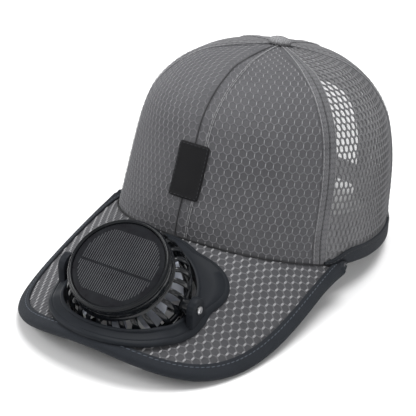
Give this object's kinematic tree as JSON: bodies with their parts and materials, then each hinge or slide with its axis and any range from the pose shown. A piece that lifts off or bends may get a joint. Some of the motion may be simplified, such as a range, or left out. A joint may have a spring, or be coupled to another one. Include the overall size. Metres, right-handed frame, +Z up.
{
  "type": "solar fan hat",
  "caption": "Mesh baseball cap with a panelled crown, a bound arched visor, a strap across its rear opening, and a tilting caged fan under a round solar disc let into the visor.",
  "frame": {"origin": "on the floor under the middle of the cap's box, with the cap resting on its two front visor corners and the rear ends of its edge tape", "axes": "+Z up, -Y toward the front of the visor, +X toward the wearer's left"},
  "size_m": [0.1616, 0.297, 0.1317],
  "materials": {
    "front_fabric": "grey honeycomb mesh over a lining",
    "net_fabric": "grey open honeycomb net",
    "visor_fabric": "dark grey honeycomb mesh over a board",
    "binding_tape": "blue black woven tape",
    "band_cloth": "dark grey plain knit",
    "patch_weave": "black woven label",
    "plate_plastic": "matte dark grey",
    "housing_plastic": "gloss black",
    "solar_cell": "clear coated dark cell with fine lines",
    "blade_plastic": "light grey moulded plastic",
    "screw_steel": "plain plated steel",
    "motor_can": "plain"
  },
  "bodies": {
    "cap": {"panel_front_left": "front_fabric", "panel_front_right": "front_fabric", "panel_side_left": "net_fabric", "panel_side_right": "net_fabric", "panel_back_left": "net_fabric", "panel_back_right": "net_fabric", "top_button": "front_fabric", "front_patch": "patch_weave", "base_binding_left": "binding_tape", "base_binding_right": "binding_tape", "rear_binding": "binding_tape", "rear_strap_left": "band_cloth", "rear_strap_right": "band_cloth", "sweatband": "band_cloth", "visor": "visor_fabric", "visor_binding": "binding_tape", "fan_plate": "plate_plastic", "clamp_ring": "plate_plastic", "pivot_screw_left": "screw_steel", "pivot_screw_right": "screw_steel"},
    "fan_head": {"fan_cage": "housing_plastic", "fan_guard": "housing_plastic", "solar_bezel": "housing_plastic", "solar_panel": "solar_cell", "fan_motor": "motor_can"},
    "rotor": {"fan_rotor": "blade_plastic"}
  },
  "joints": [
    {"name": "fan_tilt", "type": "hinge", "parent": "cap", "child": "fan_head", "pos_m": [0, -0.10323, 0.03219], "axis": [1, 0, 0], "range_deg": [-40, 12]},
    {"name": "rotor_spin", "type": "hinge", "parent": "fan_head", "child": "rotor", "pos_m": [0, -0.10323, 0.03219], "axis": [0, -0.5701, 0.8216], "continuous": true}
  ]
}
